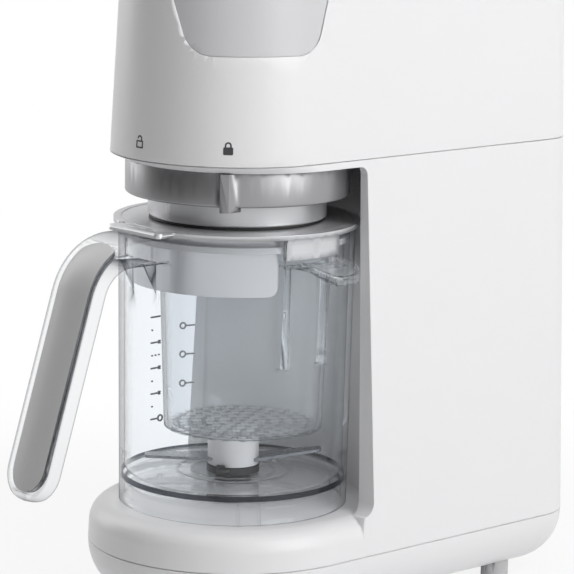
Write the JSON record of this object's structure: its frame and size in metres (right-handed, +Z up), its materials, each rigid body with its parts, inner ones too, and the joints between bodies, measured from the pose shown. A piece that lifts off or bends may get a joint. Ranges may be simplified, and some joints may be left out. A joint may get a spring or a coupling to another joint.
{
  "type": "baby food maker",
  "caption": "Countertop steamer and blender for baby food: drafted housing with a jug bay, turning lock ring, clear jug with handle, steam basket, blade and a top water tank.",
  "frame": {"origin": "on the floor, under the middle of the box that holds the whole object", "axes": "+Z up; -Y the way that the nose and the jug's handle point; +X the side that the basket's finger tab shows on"},
  "size_m": [0.1516, 0.3115, 0.3318],
  "materials": {
    "shell_white": "smooth satin moulded plastic",
    "fascia_grey": "fine matt grey plastic",
    "ring_grey": "satin mid-grey plastic",
    "light_grey": "satin light grey plastic",
    "grip_grey": "soft matt grey plastic",
    "clear": "clear polished plastic",
    "seal_black": "black soft rubber",
    "seal_grey": "grey soft rubber",
    "foot_rubber": "dark rubber",
    "dark_plastic": "dark matt plastic",
    "steel": "brushed stainless steel",
    "zinc_steel": "plain zinc-plated steel",
    "cast_alloy": "cast aluminium",
    "bronze": "sintered bronze",
    "hose_clear": "milky silicone hose",
    "board_green": "green circuit board"
  },
  "bodies": {
    "housing": {"base_pan": "shell_white", "main_body": "shell_white", "head_cover": "shell_white", "control_fascia": "fascia_grey", "rubber_feet": "foot_rubber", "base_screws": "zinc_steel", "cord_gland": "dark_plastic", "motor_bracket": "zinc_steel", "motor": "zinc_steel", "drive_belt": "seal_black", "spindle_bush": "bronze", "pan_bush": "bronze", "boiler": "cast_alloy", "thermostat": "dark_plastic", "water_tube": "hose_clear", "steam_tube": "hose_clear", "steam_nozzle": "light_grey", "nozzle_arm": "light_grey", "water_tank": "clear", "tank_hinge_pin": "steel", "control_board": "board_green"},
    "spindle_unit": {"drive_spindle": "steel", "driven_pulley": "dark_plastic", "drive_dog": "dark_plastic"},
    "motor_rotor": {"motor_shaft": "steel", "motor_pulley": "dark_plastic"},
    "jug_unit": {"jug": "clear", "handle_insert": "grip_grey", "jug_lid": "light_grey", "lid_gasket": "seal_grey", "steam_basket": "clear", "jug_bush": "bronze", "hub_seal": "seal_black"},
    "blade_unit": {"blade": "steel", "blade_hub": "light_grey", "blade_shaft": "steel"},
    "lock_unit": {"lock_ring": "ring_grey"},
    "collar_unit": {"seal_collar": "light_grey", "collar_gasket": "seal_black"},
    "dial_unit": {"dial": "shell_white"},
    "blend_button_unit": {"blend_button": "light_grey"},
    "steam_button_unit": {"steam_button": "light_grey"},
    "tank_lid_unit": {"tank_lid": "shell_white"}
  },
  "joints": [
    {"name": "lock_turn", "type": "hinge", "parent": "housing", "child": "lock_unit", "pos_m": [-0.00476, -0.02525, 0.2069], "axis": [0, 0, 1], "range_deg": [-43, 0]},
    {"name": "collar_lift", "type": "slide", "parent": "housing", "child": "collar_unit", "axis": [0, 0, 1], "range_m": [0, 0.008]},
    {"name": "jug_pull", "type": "slide", "parent": "housing", "child": "jug_unit", "axis": [0, -1, 0], "range_m": [0, 0.16]},
    {"name": "spindle_spin", "type": "hinge", "parent": "housing", "child": "spindle_unit", "pos_m": [-0.00476, -0.02525, 0.054], "axis": [0, 0, 1], "continuous": true},
    {"name": "motor_spin", "type": "hinge", "parent": "housing", "child": "motor_rotor", "pos_m": [-0.00476, 0.09675, 0.0415], "axis": [0, 0, 1], "continuous": true},
    {"name": "blade_spin", "type": "hinge", "parent": "jug_unit", "child": "blade_unit", "pos_m": [-0.00476, -0.02525, 0.0681], "axis": [0, 0, 1], "continuous": true},
    {"name": "dial_turn", "type": "hinge", "parent": "housing", "child": "dial_unit", "pos_m": [-0.00476, -0.03123, 0.3206], "axis": [0, 0, -1], "range_deg": [0, 270]},
    {"name": "blend_press", "type": "slide", "parent": "housing", "child": "blend_button_unit", "axis": [0, 0, -1], "range_m": [0, 0.0012], "stiffness_N_per_m": 400},
    {"name": "steam_press", "type": "slide", "parent": "housing", "child": "steam_button_unit", "axis": [0, 0, -1], "range_m": [0, 0.0012], "stiffness_N_per_m": 400},
    {"name": "tank_lid_swing", "type": "hinge", "parent": "housing", "child": "tank_lid_unit", "pos_m": [-0.00476, 0.13495, 0.3188], "axis": [-1, 0, 0], "range_deg": [0, 95]}
  ],
  "couplings": [
    {"joint": "collar_lift", "follows": "lock_turn", "m_per_rad": -0.01066},
    {"joint": "motor_spin", "follows": "spindle_spin", "ratio": 2.8889},
    {"joint": "blade_spin", "follows": "spindle_spin", "ratio": 1}
  ]
}
